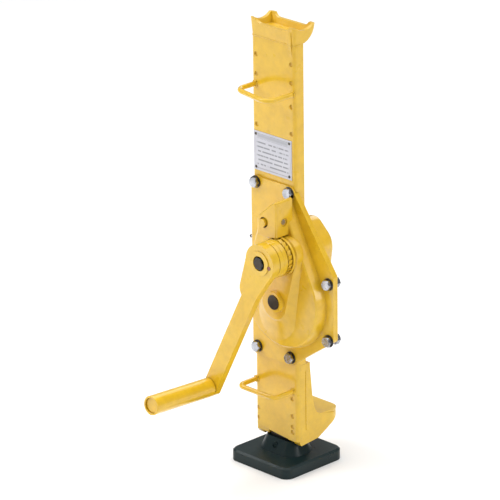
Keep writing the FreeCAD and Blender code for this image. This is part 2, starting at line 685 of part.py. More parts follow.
def make_bushes():
    """Plain bronze bushes for both shafts, in the front and the rear cover."""
    inner_front = DOME_FRONT + v.cover_sheet
    rear = v.rear_dome_rear
    rear_start = v.rack_room_rear + v.rack_sheet + 0.5
    for label, x, z, seat, journal, back, front in (
            ("front_pinion_bush", v.pinion_x, v.pinion_z, PINION_BUSH, v.pinion_journal, inner_front,
             v.bearing_front + BUSH_LIP),
            ("rear_pinion_bush", v.pinion_x, v.pinion_z, PINION_BUSH, v.pinion_journal, rear, rear_start),
            ("front_crank_bush", v.crank_x, CRANK_Z, CRANK_BUSH, v.crank_journal, inner_front,
             PLATEAU_FRONT),
            ("rear_crank_bush", v.crank_x, CRANK_Z, CRANK_BUSH, v.crank_journal, rear, rear_start)):
        ring = round_y(label + "_ring", x, z, seat, back, front)
        bore = round_y(label + "_bore", x, z, journal + v.shaft_gap, back + 1, front - 1)
        named(cut(label + "_cut", ring, bore), label)


def hexagon_y(name, x, z, flats, rear, front):
    obj = doc.addObject("Part::Prism", name)
    obj.Polygon, obj.Circumradius, obj.Height = 6, flats / math.sqrt(3), rear - front
    obj.Placement = at(x, rear, z, *ALONG_FRONT)
    return obj


def make_bolts():
    """Six hexagon bolts with washers hold the front cover; two of them have nuts behind."""
    bolts, washers, nuts = [], [], []
    seat = FLANGE_FRONT - v.washer_thick
    rim_back = v.column_front + v.case_gap + v.cover_sheet
    for x, z in COLUMN_BOLTS + RIM_BOLTS:
        tail = SHEET_REAR + 16 if (x, z) in COLUMN_BOLTS else rim_back + v.nut_height + 3
        head = hexagon_y("bolt_hexagon", x, z, v.bolt_flats, seat, seat - v.bolt_head)
        dressing = cone_y("bolt_head_chamfer", x, z, v.bolt_flats / 2 + 6, v.bolt_flats / 2 - 0.4, seat + 3,
                          seat - v.bolt_head)
        shank = round_y("bolt_shank", x, z, "Sizes.bolt_radius", tail, seat - 1)
        bolts.append(fuse("bolt", common("bolt_head", head, dressing), shank))
        ring = round_y("washer_ring", x, z, "Sizes.washer_radius", FLANGE_FRONT, seat)
        washers.append(cut("washer", ring, round_y("washer_bore", x, z, v.bolt_radius + 0.3,
                                                   FLANGE_FRONT + 1, seat - 1)))
    for x, z in RIM_BOLTS:
        blank = hexagon_y("nut_hexagon", x, z, v.bolt_flats, rim_back + v.nut_height, rim_back)
        nuts.append(cut("nut", blank, round_y("nut_bore", x, z, v.bolt_radius + 0.05, rim_back + 20,
                                              rim_back - 1)))
    named(group("bolts_group", bolts), "cover_bolts")
    named(group("washers_group", washers), "cover_washers")
    named(group("nuts_group", nuts), "cover_nuts")


# ---------------------------------------------------------------- gears and shafts
def make_rack_pinion_shaft():
    """The lower shaft: its six teeth drive the rack, its front journal carries the drive gear."""
    half = v.rack_depth / 2
    outline = gear_outline(int(v.rack_pinion_teeth), v.rack_module, PINION_ADDENDUM,
                           RACK_ADDENDUM + ROOT_CLEARANCE, RACK_BACKLASH, half, (v.pinion_x, v.pinion_z),
                           math.pi)
    teeth = extrude("rack_pinion_teeth_block", outline, (0, -1, 0), "Sizes.rack_depth")
    front = round_y("pinion_front_journal", v.pinion_x, v.pinion_z, "Sizes.pinion_journal", -half,
                    v.bearing_front - 1)
    rear = round_y("pinion_rear_journal", v.pinion_x, v.pinion_z, "Sizes.pinion_journal",
                   v.rear_dome_rear + 1, half)
    named(cut("pinion_shaft_cut", fuse("pinion_shaft_blank", teeth, front, rear), gear_key_seat),
          "rack_pinion_shaft")


def make_drive_gear():
    rear = DRIVE_GEAR_REAR
    outline = gear_outline(int(v.drive_gear_teeth), v.gear_module, RACK_ADDENDUM,
                           PINION_ADDENDUM + ROOT_CLEARANCE,
                           GEAR_BACKLASH, rear, (v.pinion_x, v.pinion_z), GEAR_LINE)
    blank = extrude("drive_gear_blank", outline, (0, -1, 0), "Sizes.drive_gear_width")
    bore = round_y("drive_gear_bore", v.pinion_x, v.pinion_z, v.pinion_journal + 0.02, rear + 1, rear - 20)
    holes = []
    for index in range(6):
        turn = GEAR_LINE + math.radians(60 * index + 30)
        holes.append(round_y("gear_lightening", v.pinion_x + 44 * math.cos(turn),
                             v.pinion_z + 44 * math.sin(turn),
                             12, rear + 1, rear - 20))
    named(cut("drive_gear_cut", blank, bore, gear_key_seat, *holes), "drive_gear")


def make_gear_key():
    x, z = v.pinion_x, v.pinion_z + v.pinion_journal
    named(box("gear_key_bar", (x - 3, DRIVE_GEAR_REAR - v.drive_gear_width + 1, z - 3.5),
              (x + 3, DRIVE_GEAR_REAR - 1, z + 2.8)),
          "drive_gear_key")


def make_retaining_ring():
    ring = round_y("retaining_ring_disc", v.pinion_x, v.pinion_z, v.pinion_journal + 4,
                   DRIVE_GEAR_REAR + 1.8,
                   DRIVE_GEAR_REAR + 0.2)
    bore = round_y("retaining_ring_bore", v.pinion_x, v.pinion_z, v.pinion_journal + 0.02,
                   DRIVE_GEAR_REAR + 3,
                   DRIVE_GEAR_REAR - 3)
    named(cut("retaining_ring_cut", ring, bore), "gear_retaining_ring")


def make_crank_shaft():
    """The crank shaft, with the small driving teeth cut in one piece with it."""
    rear = DRIVE_GEAR_REAR
    outline = gear_outline(int(v.crank_pinion_teeth), v.gear_module, PINION_ADDENDUM,
                           RACK_ADDENDUM + ROOT_CLEARANCE,
                           GEAR_BACKLASH, rear, (v.crank_x, CRANK_Z),
                           GEAR_LINE + math.pi + math.pi / v.crank_pinion_teeth)
    teeth = extrude("crank_pinion_teeth_block", outline, (0, -1, 0), "Sizes.drive_gear_width")
    back = round_y("crank_rear_journal", v.crank_x, CRANK_Z, "Sizes.crank_journal", v.rear_dome_rear + 1,
                   rear)
    front = round_y("crank_front_journal", v.crank_x, CRANK_Z, "Sizes.crank_journal",
                    rear - v.drive_gear_width,
                    v.hub_front + 12)
    thread = round_y("crank_thread", v.crank_x, CRANK_Z, THREAD_RADIUS, v.hub_front + 12, v.hub_front - 1.5)
    named(fuse("crank_shaft_whole", teeth, back, front, thread), "crank_shaft")


# ---------------------------------------------------------------- crank, brake and ratchet
def disc(label, radius, rear, front, bore=None):
    """A plain ring on the crank shaft."""
    ring = round_y(label + "_ring", v.crank_x, CRANK_Z, radius, rear, front)
    hole = round_y(label + "_bore", v.crank_x, CRANK_Z, v.crank_journal + 0.02 if bore is None else bore,
                   rear + 1, front - 1)
    return cut(label + "_cut", ring, hole)


def make_brake():
    """Brake flange, two friction discs and the ratchet wheel between them, and the hub drums."""
    named(disc("thrust_washer", 17, PLATEAU_FRONT - 0.3, BRAKE_REAR), "thrust_washer")
    named(disc("brake_flange", v.brake_radius, BRAKE_REAR, RATCHET_REAR + FRICTION), "brake_flange")
    rear_disc = disc("rear_friction_disc", 27, RATCHET_REAR + FRICTION, RATCHET_REAR)
    front_disc = disc("front_friction_disc", 27, RATCHET_FRONT, RATCHET_FRONT - FRICTION)
    named(group("friction_discs_group", [rear_disc, front_disc]), "friction_discs")
    points = []
    step = 2 * math.pi / v.ratchet_teeth
    for tooth in range(int(v.ratchet_teeth)):
        turn = RATCHET_PHASE + tooth * step
        for radius in (v.ratchet_radius, v.ratchet_radius - v.ratchet_depth):
            points.append(Vector(v.crank_x + radius * math.cos(turn), RATCHET_REAR,
                                 CRANK_Z + radius * math.sin(turn)))
    blank = extrude("ratchet_blank", polygon(points), (0, -1, 0), RATCHET_REAR - RATCHET_FRONT)
    bore = round_y("ratchet_bore", v.crank_x, CRANK_Z, v.crank_journal + 0.02, 0, -100)
    named(cut("ratchet_cut", blank, bore), "ratchet_wheel")
    named(disc("pressure_drum", v.eye_radius, RATCHET_FRONT - FRICTION, DRUM_SEAM), "pressure_drum")
    drum = disc("hub_drum", v.eye_radius, DRUM_SEAM, EYE_REAR + 1.5)
    groove = disc("drum_groove", v.eye_radius - 2, EYE_REAR + 1.5, EYE_REAR)
    named(fuse("hub_drum_whole", drum, groove), "hub_drum")


def crank_place(y, z):
    """The crank arm's own frame: the arm runs down its -Z axis, tilted a little outwards."""
    hub = at(v.crank_x, v.hub_front + 8, CRANK_Z, (0, 1, 0), v.crank_angle)
    return hub.multiply(at(0, 0, 0, (1, 0, 0), -v.crank_tilt)).multiply(at(0, y, z))


def make_crank_arm():
    """A flat arm that grows into a pear-shaped eye round the shaft."""
    eye = round_y("arm_eye", v.crank_x, CRANK_Z, "Sizes.eye_radius", EYE_REAR, v.hub_front + 1.5)
    ring = round_y("arm_nut_ring", v.crank_x, CRANK_Z, 20, EYE_REAR, v.hub_front)
    half = v.arm_thick / 2
    wide = v.arm_wide / 2
    pear = belt_prism("arm_pear", [(0, -52, 20), (0, 0, v.eye_radius - 0.5)], half, -half)
    bar = belt_prism("arm_bar", [(1.5, -v.crank_radius, wide), (5, -60, wide)], half, -half)
    for piece in (pear, bar):
        piece.Placement = crank_place(0, 0)
    bore = round_y("arm_bore", v.crank_x, CRANK_Z, v.crank_journal + 0.02, 0, v.hub_front + 12)
    recess = round_y("arm_nut_recess", v.crank_x, CRANK_Z, 12, v.hub_front + NUT_SINK, v.hub_front - 5)
    neck = round_y("arm_thread_bore", v.crank_x, CRANK_Z, THREAD_RADIUS + 0.02, v.hub_front + 13,
                   v.hub_front - 5)
    screw = round_y("lock_screw_hole", v.crank_x + 21, CRANK_Z - 3, 3.3, v.hub_front + 6, v.hub_front - 5)
    axle = cylinder("axle_hole", GRIP_AXLE + 0.02, 60,
                    crank_place(30, -v.crank_radius).multiply(at(0, 0, 0, *ALONG_FRONT)))
    named(cut("arm_cut", fuse("arm_whole", eye, ring, pear, bar), bore, recess, neck, screw, axle),
          "crank_arm")


def make_crank_fasteners():
    nut = hexagon_y("crank_nut_hexagon", v.crank_x, CRANK_Z, 18, v.hub_front + NUT_SINK, v.hub_front - 1)
    hole = round_y("crank_nut_bore", v.crank_x, CRANK_Z, THREAD_RADIUS + 0.02, v.hub_front + 20,
                   v.hub_front - 5)
    named(cut("crank_nut_cut", nut, hole), "crank_nut")
    named(round_y("lock_screw_shank", v.crank_x + 21, CRANK_Z - 3, 3.2, v.hub_front + 6,
                  v.hub_front + 0.8), "hub_lock_screw")


def grip_cylinder(name, radius, start, length):
    """A cylinder on the grip's axis; start is the distance in front of the arm's middle."""
    place = crank_place(-start, -v.crank_radius).multiply(at(0, 0, 0, *ALONG_FRONT))
    return cylinder(name, radius, length, place)


def make_grip():
    """A tube that turns on two bushes round an axle riveted in the arm."""
    start = v.arm_thick / 2 + 0.4
    inner = v.grip_radius - v.grip_wall
    tube = grip_cylinder("grip_tube", "Sizes.grip_radius", start, v.grip_length)
    named(cut("grip_cut", tube, grip_cylinder("grip_bore", inner, start - 1, v.grip_length + 2)),
          "handle_grip")
    bushes = []
    for offset in (0.2, v.grip_length - 21):
        ring = grip_cylinder("grip_bush_ring", inner, start + offset, 14)
        bushes.append(cut("grip_bush", ring, grip_cylinder("grip_bush_bore", GRIP_AXLE + v.shaft_gap,
                                                           start + offset - 1, 16)))
    named(group("grip_bushes_group", bushes), "grip_bushes")
    axle = grip_cylinder("axle_rod", GRIP_AXLE, -v.arm_thick / 2 - 1, v.arm_thick + v.grip_length - 5)
    head = grip_cylinder("axle_head", inner - 0.4, start + v.grip_length - 6.5, 3.5)
    named(fuse("axle_whole", axle, head), "grip_axle")


def make_pawl():
    """A pawl on its own pin, above the ratchet wheel, with its nose just clear of the teeth."""
    nose_x = v.crank_x - 9
    reach = v.ratchet_radius + 2.4
    nose_z = CRANK_Z + math.sqrt(reach ** 2 - (nose_x - v.crank_x) ** 2)
    rear, front = PAWL_REAR, PAWL_REAR - 3.6
    blade = belt_prism("pawl_blade", [(v.pawl_x, v.pawl_z, 8), (nose_x, nose_z, 2)], rear, front)
    bore = round_y("pawl_bore", v.pawl_x, v.pawl_z, PAWL_PIN + v.shaft_gap, rear + 1, front - 1)
    named(cut("pawl_cut", blade, bore), "pawl")
    rod = round_y("pawl_pin_rod", v.pawl_x, v.pawl_z, PAWL_PIN, DOME_FRONT, HOUSING_FRONT)
    head = round_y("pawl_pin_head", v.pawl_x, v.pawl_z, PAWL_PIN + 1.5, HOUSING_FRONT + 2.7,
                   HOUSING_FRONT - 4)
    named(fuse("pawl_pin_whole", rod, head), "pawl_pin")


def make_pawl_spring():
    """A small coil spring between the housing's roof and the pawl."""
    radius, wire, low, high = 1.9, 0.5, v.pawl_z + 8.6, v.pawl_z + 16.8
    helix = Part.makeHelix((high - low) / 4, high - low, radius)
    section = Part.Wire([Part.makeCircle(wire, Vector(radius, 0, 0), Vector(0, 1, 0))])
    coil = Part.Wire(helix).makePipeShell([section], True, True)
    spring = feature("pawl_spring_coil", coil)
    spring.Placement = at(v.pawl_x + 5, PAWL_REAR - 1.8, low)
    named(spring, "pawl_spring")


def make_pawl_housing():
    """A small box over the pawl, open below, standing on the front cover's dome."""
    right, wall = HOUSING_RIGHT, HOUSING_WALL
    block = dome("housing_block", HOUSING_OUTLINE, [(DOME_FRONT + 8, 0), (HOUSING_FRONT + 2.6, 0),
                                                    (HOUSING_FRONT + 0.9, 0.8), (HOUSING_FRONT, 2.4)])
    room = belt_prism("housing_room", HOUSING_OUTLINE, DOME_FRONT + 9, HOUSING_FRONT + wall, inset=wall)
    mouth = box("housing_mouth", (HOUSING_OUTLINE[0][0], HOUSING_FRONT + wall, 395),
                (right - wall, DOME_FRONT + 9, 410))
    side_boss = cylinder("housing_stop_boss", STOP_PIN + 3, 10,
                         at(right - wall - 9, STOP_PIN_Y, STOP_PIN_Z, *ALONG_RIGHT))
    wheel = round_y("housing_wheel_room", v.crank_x, CRANK_Z, v.brake_radius + 0.8, 0, -100)
    pin_hole = round_y("housing_pin_hole", v.pawl_x, v.pawl_z, PAWL_PIN + 3.5, HOUSING_FRONT + wall + 1,
                       HOUSING_FRONT - 1)
    stop_hole = cylinder("housing_stop_hole", STOP_PIN + 0.02, 20,
                         at(right - 15, STOP_PIN_Y, STOP_PIN_Z, *ALONG_RIGHT))
    counterbore = cylinder("housing_stop_mouth", STOP_PIN + 2.6, 5,
                           at(right - 1.8, STOP_PIN_Y, STOP_PIN_Z, *ALONG_RIGHT))
    skin = dome("housing_seat", FRONT_DOME, [(v.column_front, 0), (FLANGE_FRONT, 0), (DOME_FRONT + 5, 3),
                                             (DOME_FRONT + 1.6, 4.2), (DOME_FRONT, 6.5)])
    shell = fuse("housing_shell", cut("housing_hollowed", block, room, mouth), side_boss)
    named(cut("housing_cut", shell, wheel, pin_hole, stop_hole, counterbore, skin), "pawl_housing")
    named(cylinder("stop_pin_rod", STOP_PIN, 10,
                   at(right - wall - 8.5, STOP_PIN_Y, STOP_PIN_Z, *ALONG_RIGHT)), "pawl_stop_pin")


# ---------------------------------------------------------------- shared places and sizes
UNDERCUT = 0.86
RACK_BACKLASH = 0.3
GEAR_BACKLASH = 0.25
RACK_TIP_X = RACK_PITCH_X + RACK_ADDENDUM * v.rack_module
RACK_TEETH = math.ceil(v.lift_travel / (math.pi * v.rack_module)) + int(v.spare_teeth)
GEAR_LINE = math.atan2(CRANK_Z - v.pinion_z, v.crank_x - v.pinion_x)
BOTTOM_SLANT = 8
STOP_THICK = 7
STOP_SCREWS_X = (-9, 9)
FOOT_PIN_X, FOOT_PIN_Z, FOOT_PIN_RADIUS, FOOT_PIN_HALF = 0, 31, 5, 25
PINION_BUSH, CRANK_BUSH, BUSH_LIP = 14, 12.5, 2.6
THREAD_RADIUS, NUT_SINK = 8, 6
GRIP_AXLE = 6
PAWL_PIN = 5
DRIVE_GEAR_REAR = v.column_front - 4
BRAKE_REAR = PLATEAU_FRONT - 4
FRICTION = 2
RATCHET_REAR = BRAKE_REAR - 6.5
RATCHET_FRONT = RATCHET_REAR - 7
RATCHET_PHASE = math.radians(95)
DRUM_SEAM = RATCHET_FRONT - 10.5
EYE_REAR = v.hub_front + 16.5
PAWL_REAR = RATCHET_REAR - 0.6
HOUSING_FRONT, HOUSING_WALL, HOUSING_RIGHT = -70, 2.5, 52
HOUSING_OUTLINE = [(13.5, 404.5, 3.5), (HOUSING_RIGHT - 3.5, 404.5, 3.5), (HOUSING_RIGHT - 3.5, 459, 3.5),
                   (v.pawl_x - 1, v.pawl_z, 14)]
STOP_PIN, STOP_PIN_Y, STOP_PIN_Z = 4.2, -52, 427
NIPPLE_Y, NIPPLE_Z = -14, 366
NAMEPLATE_LEFT, NAMEPLATE_RIGHT, NAMEPLATE_LOW, NAMEPLATE_HIGH = -43, 39.5, 484, 548
RIVETS = [(x, z) for x in (NAMEPLATE_LEFT + 5, NAMEPLATE_RIGHT - 5)
          for z in (NAMEPLATE_LOW + 5, NAMEPLATE_HIGH - 5)]
COLUMN_BOLTS = [(-36.5, 465), (36.5, 464), (-36.5, 190), (36.5, 190)]
RIM_BOLTS = [(120, 335), (120, 241)]
WELD_DIMPLES = [(-37, 672), (-37, 640), (-37, 558), (38.5, 671), (38.5, 641), (38.5, 603), (38.5, 559),
                (-41, 82), (-41, 65), (35, 118), (35, 88), (35, 70), (35, 61)]
CASE_OUTLINE = [(-39, 184, 8), (34, 184, 8), (122, 245, 8), (122, 346, 8), (37, 466, 8), (-39, 466, 8)]
FRONT_DOME = [(v.pinion_x, v.pinion_z, v.dome_big_radius),
              (v.pinion_x + 0.5, v.dome_top_z, v.dome_top_radius),
              (-5, 395, 17)]
PLATEAU_FOOT = [(24, 262, 40), (v.crank_x, CRANK_Z, 30)]
PLATEAU_TOP = [(28, 286, 27), (v.crank_x, CRANK_Z, 28)]
REAR_DOME = [(v.pinion_x, v.pinion_z, 34), (v.crank_x, CRANK_Z, 28.5), (42, 395, 18), (12, 300, 26)]

foot_pin_hole = round_y("foot_pin_hole", FOOT_PIN_X, FOOT_PIN_Z, FOOT_PIN_RADIUS + 0.05, 60, -60)
stop_screw_holes = group("stop_screw_holes", [
    cylinder("stop_screw_hole", 3.05, 60, at(x, 0, v.rack_top - 20.5)) for x in STOP_SCREWS_X])
column_bolt_holes = group("column_bolt_holes", [
    round_y("column_bolt_hole", x, z, v.bolt_radius + 0.05, 5, -40) for x, z in COLUMN_BOLTS])
all_bolt_holes = group("all_bolt_holes", [
    round_y("cover_bolt_hole", x, z, v.bolt_radius + 0.3, 5, -40) for x, z in COLUMN_BOLTS + RIM_BOLTS])
rivet_holes = group("rivet_holes", [round_y("rivet_hole", x, z, 1.45, 0, -40) for x, z in RIVETS])
gear_window = belt_prism("gear_window", [(v.pinion_x, v.pinion_z, 22), (v.crank_x, CRANK_Z, 17)], 0, -30)
gear_key_seat = box("gear_key_seat", (v.pinion_x - 3.02, DRIVE_GEAR_REAR - v.drive_gear_width + 0.9,
                                      v.pinion_z + v.pinion_journal - 3.6),
                    (v.pinion_x + 3.02, DRIVE_GEAR_REAR - 0.9, v.pinion_z + v.pinion_journal + 2.9))
doc.recompute()

make_base_plate()
make_rack()
make_foot_pin()
make_rack_stop()
make_front_channel()
make_rack_channel()
make_threaded_blocks()
make_guides()
make_toe_claw()
make_lift_head()
bail("upper_bail", -39, 42, 624, 40, 54, 17)
bail("lower_bail", -44, 36, 131, 40, 40, 11)
make_nameplate()
make_grease_nipple()
make_front_cover()
make_spacer()
make_rear_cover()
make_bushes()
make_bolts()
make_rack_pinion_shaft()
make_drive_gear()
make_gear_key()
make_retaining_ring()
make_crank_shaft()
make_brake()
make_crank_arm()
make_crank_fasteners()
make_grip()
make_pawl()
make_pawl_spring()
make_pawl_housing()
doc.recompute()

# ---------------------------------------------------------------- checks and export
for obj in doc.Objects:
    if {"Invalid", "Error"} & set(obj.State):
        raise RuntimeError("%s failed to rebuild: %s" % (obj.Name, obj.State))
for node in nodes:
    shape = node.Shape
    if shape.isNull() or not shape.isValid() or not shape.Solids:
        raise RuntimeError("%s has no valid solid" % node.Label)
    print("%-24s solids %2d  volume %10.0f  z %7.1f to %7.1f" % (
        node.Label, len(shape.Solids), shape.Volume, shape.BoundBox.ZMin, shape.BoundBox.ZMax))
    shape.exportStep("parts/%s.step" % node.Label)
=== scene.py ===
"""The looks of the rack jack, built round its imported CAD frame."""
import json
import math

import bmesh
import bpy
from mathutils import Matrix, Vector


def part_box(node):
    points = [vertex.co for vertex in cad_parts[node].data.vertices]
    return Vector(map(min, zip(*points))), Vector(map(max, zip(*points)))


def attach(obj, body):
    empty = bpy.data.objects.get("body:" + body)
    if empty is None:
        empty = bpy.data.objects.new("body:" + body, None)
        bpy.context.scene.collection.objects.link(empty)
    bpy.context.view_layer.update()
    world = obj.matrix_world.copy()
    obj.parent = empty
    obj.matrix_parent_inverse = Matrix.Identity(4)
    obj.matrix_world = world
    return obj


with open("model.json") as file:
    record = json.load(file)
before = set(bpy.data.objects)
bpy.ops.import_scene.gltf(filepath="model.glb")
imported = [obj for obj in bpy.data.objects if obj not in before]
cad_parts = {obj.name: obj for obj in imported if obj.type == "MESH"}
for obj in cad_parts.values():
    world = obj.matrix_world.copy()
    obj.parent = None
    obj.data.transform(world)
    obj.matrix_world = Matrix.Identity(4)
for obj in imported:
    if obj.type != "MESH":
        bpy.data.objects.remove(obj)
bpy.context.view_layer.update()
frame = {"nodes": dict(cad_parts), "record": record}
NODES = frame["nodes"]
MM = 0.001
SHADER_SAMPLES = 6          # rays of the edge and crevice nodes
SOFT_BORDER = 0.03          # half the width of a printed edge


# ---------------------------------------------------------------- material helpers
class Paint:
    """A node material under construction: short names for the nodes that the finishes share."""

    def __init__(self, name):
        self.material = bpy.data.materials.new(name)
        self.material.use_nodes = True
        self.tree = self.material.node_tree
        self.shader = self.tree.nodes["Principled BSDF"]
        self.place = self.add("ShaderNodeTexCoord").outputs["Object"]

    def add(self, kind, **settings):
        node = self.tree.nodes.new(kind)
        for name, value in settings.items():
            setattr(node, name, value)
        return node

    def join(self, source, target):
        self.tree.links.new(source, target)

    def noise(self, scale, detail=3.0, roughness=0.55, place=None):
        """Soft noise with about scale waves to the metre."""
        node = self.add("ShaderNodeTexNoise")
        node.inputs["Scale"].default_value = scale
        node.inputs["Detail"].default_value = detail
        node.inputs["Roughness"].default_value = roughness
        self.join(place or self.place, node.inputs["Vector"])
        return node.outputs["Fac"]

    def spread(self, value, low, high, to_low=0.0, to_high=1.0):
        """Stretches the range low..high to to_low..to_high and clamps it there."""
        node = self.add("ShaderNodeMapRange")
        for index, number in enumerate((low, high, to_low, to_high), start=1):
            node.inputs[index].default_value = number
        self.join(value, node.inputs[0])
        return node.outputs[0]

    def math(self, operation, a, b):
        """Arithmetic on numbers or other nodes' values, clamped to 0..1."""
        node = self.add("ShaderNodeMath", operation=operation, use_clamp=True)
        for socket, value in zip(node.inputs, (a, b)):
            if isinstance(value, (int, float)):
                socket.default_value = value
            else:
                self.join(value, socket)
        return node.outputs[0]

    def scaled(self, value, factor):
        """value times factor, without a clamp."""
        node = self.add("ShaderNodeMath", operation="MULTIPLY")
        self.join(value, node.inputs[0])
        node.inputs[1].default_value = factor
        return node.outputs[0]

    def minus(self, number, value):
        return self.math("SUBTRACT", number, value)

    def step(self, value, edge):
        """0 below the edge and 1 above it, with a slightly soft border."""
        return self.spread(value, edge - SOFT_BORDER, edge + SOFT_BORDER)

    def window(self, value, low, high):
        """1 between low and high, 0 outside."""
        below_high = self.step(self.minus(1.0, value), 1.0 - high)
        return self.math("MULTIPLY", self.step(value, low), below_high)

    def row_place(self, across, up):
        """A place that varies along each row of print and jumps from row to row."""
        whole = self.add("ShaderNodeMath", operation="FLOOR")
        self.join(self.scaled(up, PLATE_ROWS), whole.inputs[0])
        place = self.add("ShaderNodeCombineXYZ")
        self.join(self.scaled(across, WORDS_PER_ROW), place.inputs["X"])
        self.join(self.scaled(whole.outputs[0], ROW_JUMP), place.inputs["Y"])
        return place.outputs["Vector"]

    def mix(self, amount, a, b):
        """Colour a where amount is 0 and colour b where it is 1."""
        node = self.add("ShaderNodeMix", data_type="RGBA")
        self.join(amount, node.inputs["Factor"])
        for socket, value in ((node.inputs["A"], a), (node.inputs["B"], b)):
            if isinstance(value, tuple):
                socket.default_value = (*value, 1.0)
            else:
                self.join(value, socket)
        return node.outputs["Result"]

    def edges(self, radius, low=0.02, high=0.25):
        """1 on sharp outer and inner edges, 0 on flat faces."""
        rounded = self.add("ShaderNodeBevel", samples=SHADER_SAMPLES)
        rounded.inputs["Radius"].default_value = radius
        plain = self.add("ShaderNodeNewGeometry")
        dot = self.add("ShaderNodeVectorMath", operation="DOT_PRODUCT")
        self.join(rounded.outputs["Normal"], dot.inputs[0])
        self.join(plain.outputs["Normal"], dot.inputs[1])
        bend = self.minus(1.0, dot.outputs["Value"])
        return self.spread(bend, low, high)

    def crevice_shade(self, distance):
        """Painted shade: 1 in corners and behind other pieces, where the occlusion rays find shade, 0 in
        the open.
        """
        node = self.add("ShaderNodeAmbientOcclusion", samples=SHADER_SAMPLES)
        node.inputs["Distance"].default_value = distance
        return self.spread(node.outputs["AO"], 0.75, 0.2)

    def bumps(self, *layers):
        """Bump from (height, strength, distance) layers, one on another."""
        normal = None
        for height, strength, distance in layers:
            node = self.add("ShaderNodeBump")
            node.inputs["Strength"].default_value = strength
            node.inputs["Distance"].default_value = distance
            self.join(height, node.inputs["Height"])
            if normal is not None:
                self.join(normal, node.inputs["Normal"])
            normal = node.outputs["Normal"]
        self.join(normal, self.shader.inputs["Normal"])

    def set(self, **values):
        """Uniform values, set on the shader's own sockets."""
        for name, value in values.items():
            self.shader.inputs[name.replace("_", " ")].default_value = value

    def feed(self, name, value):
        self.join(value, self.shader.inputs[name])


# ---------------------------------------------------------------- kinds of finish
# noise scales, in waves to the metre
CLOUDS, MOTTLE, CHIPS = 9, 70, 260
PEEL, DUST, PATCHES = 34, 420, 45
SMUDGES, GRAIN = 60, 320


def enamel(name, colour, deep, faded, scuff, coat=1.0):
    """Sprayed enamel over steel: orange peel, soft shifts of tone, painted shade in corners, rubbed edges.
    """
    paint = Paint(name)
    clouds = paint.spread(paint.noise(CLOUDS, 4), 0.35, 0.68)
    mottle = paint.spread(paint.noise(MOTTLE, 5, 0.65), 0.35, 0.7)
    tone = paint.mix(clouds, colour, faded)
    tone = paint.mix(paint.math("MULTIPLY", mottle, 0.25), tone, deep)
    # painted shade: the occlusion mask darkens corners and faces behind other pieces towards the deep tone
    corner_shade = paint.math("MULTIPLY", paint.crevice_shade(12 * MM), 0.85)
    tone = paint.mix(corner_shade, tone, deep)
    chips = paint.spread(paint.noise(CHIPS, 4, 0.7), 0.57, 0.64)
    worn = paint.math("MULTIPLY", paint.edges(1.2 * MM), chips)
    tone = paint.mix(paint.math("MULTIPLY", worn, 0.85), tone, scuff)
    paint.feed("Base Color", tone)
    gloss = paint.spread(paint.noise(PATCHES, 4), 0.3, 0.7, 0.26, 0.40)
    paint.feed("Roughness", paint.math("ADD", gloss, paint.math("MULTIPLY", worn, 0.3)))
    paint.set(Coat_Weight=coat, Coat_Roughness=0.16, Coat_IOR=1.5, Specular_IOR_Level=0.25)
    paint.bumps((paint.noise(PEEL, 2), 0.20, 1.0 * MM), (paint.noise(DUST, 2), 0.08, 0.3 * MM))
    return paint.material


def steel(name, colour, dark, roughness, edge=(0.9, 0.9, 0.9)):
    """Bare or plated steel: faint machining grain, smudges, painted shade in corners and bright rubbed
    edges.
    """
    paint = Paint(name)
    grain = paint.noise(GRAIN, 3, 0.6)
    smudge = paint.spread(paint.noise(SMUDGES, 4), 0.35, 0.7)
    tone = paint.mix(paint.math("MULTIPLY", smudge, 0.6), colour, dark)
    # painted shade: corners and faces behind other pieces are darkened towards the dark tone
    tone = paint.mix(paint.math("MULTIPLY", paint.crevice_shade(6 * MM), 0.8), tone, dark)
    tone = paint.mix(paint.math("MULTIPLY", paint.edges(0.6 * MM), 0.5), tone, edge)
    paint.feed("Base Color", tone)
    paint.feed("Roughness", paint.spread(grain, 0.3, 0.7, roughness - 0.07, roughness + 0.1))
    paint.set(Metallic=1.0)
    paint.bumps((grain, 0.12, 0.2 * MM))
    return paint.material


# the plate's print, as shares of its width and height
PLATE_ROWS = 9
WORDS_PER_ROW, ROW_JUMP = 16.0, 3.7
TABLE_ACROSS, TABLE_UP = (0.09, 0.91), (0.08, 0.82)
BAND_ACROSS, BAND_UP = (0.10, 0.90), (0.84, 0.93)
PLATE_SILVER, PLATE_DULL = (0.62, 0.62, 0.68), (0.54, 0.54, 0.60)
# the fourth colour is the painted shade in the plate's corners and round its rivets
PLATE_INK, PLATE_SHADE = (0.16, 0.17, 0.19), (0.30, 0.27, 0.22)


